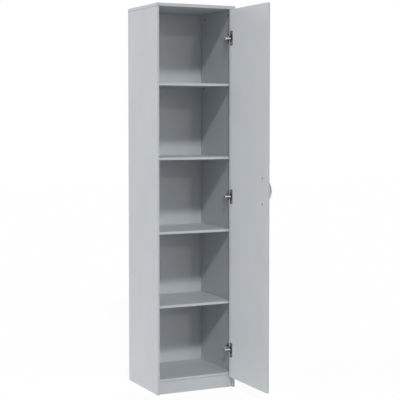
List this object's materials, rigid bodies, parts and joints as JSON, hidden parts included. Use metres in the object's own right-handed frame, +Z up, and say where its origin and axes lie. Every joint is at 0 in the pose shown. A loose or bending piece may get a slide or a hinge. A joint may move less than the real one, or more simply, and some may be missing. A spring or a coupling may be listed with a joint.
{
  "type": "tall kitchen cabinet",
  "caption": "Tall narrow kitchen cabinet of pale board with open shelves inside, a full-height inset door on concealed hinges, and a bow handle.",
  "frame": {"origin": "middle of the plinth board's foot on the floor, halfway across the cabinet", "axes": "+X to the hinged side, +Y to the wall behind the cabinet, +Z up; the door swings about vertical axes on its right side"},
  "size_m": [0.463, 0.7962, 2],
  "materials": {
    "pale_laminate": "pale grey melamine facing on chipboard, satin",
    "back_hardboard": "pale grey painted hardboard, matt",
    "zinc": "zinc plated",
    "hinge_steel": "dark nickel plated",
    "bright_steel": "bright nickel plated",
    "screw_steel": "zinc plated",
    "handle_satin": "satin nickel plated"
  },
  "bodies": {
    "carcass": {"back_panel": "back_hardboard", "top_panel": "pale_laminate", "bottom_panel": "pale_laminate", "side_panel_left": "pale_laminate", "side_panel_right": "pale_laminate", "plinth_board": "pale_laminate", "shelf_1": "pale_laminate", "shelf_2": "pale_laminate", "shelf_3": "pale_laminate", "shelf_4": "pale_laminate", "shelf_1_pin_front_left": "zinc", "shelf_1_pin_front_right": "zinc", "shelf_1_pin_rear_left": "zinc", "shelf_1_pin_rear_right": "zinc", "shelf_2_pin_front_left": "zinc", "shelf_2_pin_front_right": "zinc", "shelf_2_pin_rear_left": "zinc", "shelf_2_pin_rear_right": "zinc", "shelf_3_pin_front_left": "zinc", "shelf_3_pin_front_right": "zinc", "shelf_3_pin_rear_left": "zinc", "shelf_3_pin_rear_right": "zinc", "shelf_4_pin_front_left": "zinc", "shelf_4_pin_front_right": "zinc", "shelf_4_pin_rear_left": "zinc", "shelf_4_pin_rear_right": "zinc", "top_cam_fitting_front_left": "zinc", "top_cam_fitting_front_right": "zinc", "top_cam_fitting_rear_left": "zinc", "top_cam_fitting_rear_right": "zinc", "bottom_cam_fitting_front_left": "zinc", "bottom_cam_fitting_front_right": "zinc", "bottom_cam_fitting_rear_left": "zinc", "bottom_cam_fitting_rear_right": "zinc", "top_hinge_mounting_plate": "hinge_steel", "top_hinge_arm": "bright_steel", "top_hinge_arm_pin_outer": "screw_steel", "top_hinge_arm_pin_inner": "screw_steel", "middle_hinge_mounting_plate": "hinge_steel", "middle_hinge_arm": "bright_steel", "middle_hinge_arm_pin_outer": "screw_steel", "middle_hinge_arm_pin_inner": "screw_steel", "bottom_hinge_mounting_plate": "hinge_steel", "bottom_hinge_arm": "bright_steel", "bottom_hinge_arm_pin_outer": "screw_steel", "bottom_hinge_arm_pin_inner": "screw_steel"},
    "outer_links": {"top_hinge_outer_link": "bright_steel", "middle_hinge_outer_link": "bright_steel", "bottom_hinge_outer_link": "bright_steel"},
    "inner_links": {"top_hinge_inner_link": "bright_steel", "middle_hinge_inner_link": "bright_steel", "bottom_hinge_inner_link": "bright_steel"},
    "door": {"door_panel": "pale_laminate", "handle": "handle_satin", "handle_screw_lower": "screw_steel", "handle_screw_upper": "screw_steel", "top_hinge_cup": "hinge_steel", "middle_hinge_cup": "hinge_steel", "bottom_hinge_cup": "hinge_steel"}
  },
  "joints": [
    {"name": "outer_link_pivot", "type": "hinge", "parent": "carcass", "child": "outer_links", "pos_m": [0.1865, -0.0096, 1.01], "axis": [0, 0, 1], "range_deg": [-2.36, 42.65]},
    {"name": "door_swing", "type": "hinge", "parent": "outer_links", "child": "door", "pos_m": [0.19468, -0.01976, 1.01], "axis": [0, 0, 1], "range_deg": [-132.66, 7.36]},
    {"name": "inner_link_pivot", "type": "hinge", "parent": "carcass", "child": "inner_links", "pos_m": [0.174, -0.0096, 1.01], "axis": [0, 0, 1], "range_deg": [-1.89, 33.77]}
  ],
  "couplings": [
    {"joint": "door_swing", "follows": "outer_link_pivot", "ratio": -3.1101},
    {"joint": "inner_link_pivot", "follows": "outer_link_pivot", "ratio": 0.79152}
  ]
}
